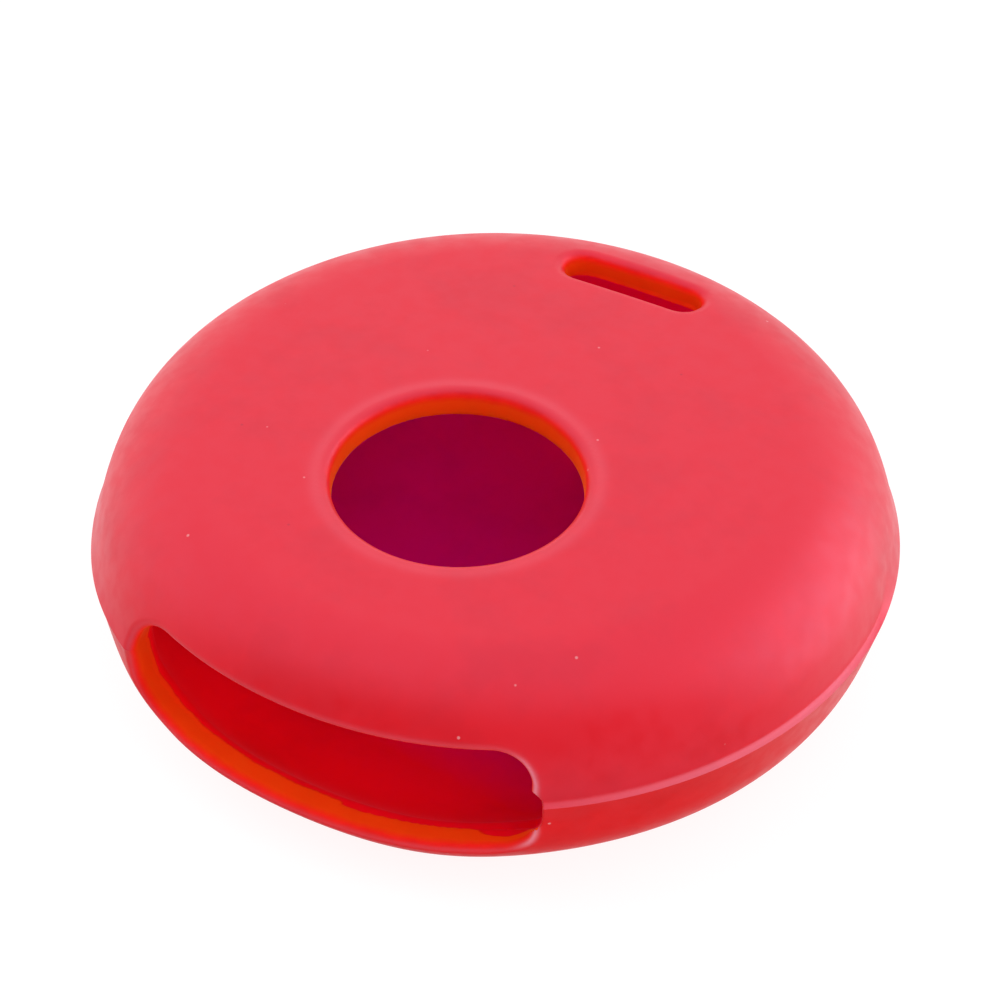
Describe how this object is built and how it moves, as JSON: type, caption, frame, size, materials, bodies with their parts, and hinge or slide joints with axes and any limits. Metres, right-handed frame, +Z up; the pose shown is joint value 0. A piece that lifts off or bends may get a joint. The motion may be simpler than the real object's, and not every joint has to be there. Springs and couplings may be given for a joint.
{
  "type": "round silicone key fob sleeve",
  "caption": "Soft round sleeve for a disc-shaped key fob, with a wide mouth in its side, a round window in its upper face and a keyring slot opposite the mouth.",
  "frame": {"origin": "centre of the flat that the sleeve rests on, on the axis of its round body", "axes": "+Z up, out of the face with the window; -Y out of the mouth; +Y towards the keyring slot"},
  "size_m": [0.048, 0.047, 0.0173],
  "materials": {
    "upper_silicone": "matte moulded silicone with a milky bloom",
    "lower_silicone": "matte moulded silicone"
  },
  "bodies": {
    "root": {"upper_shell": "upper_silicone", "lower_shell": "lower_silicone"}
  },
  "joints": []
}
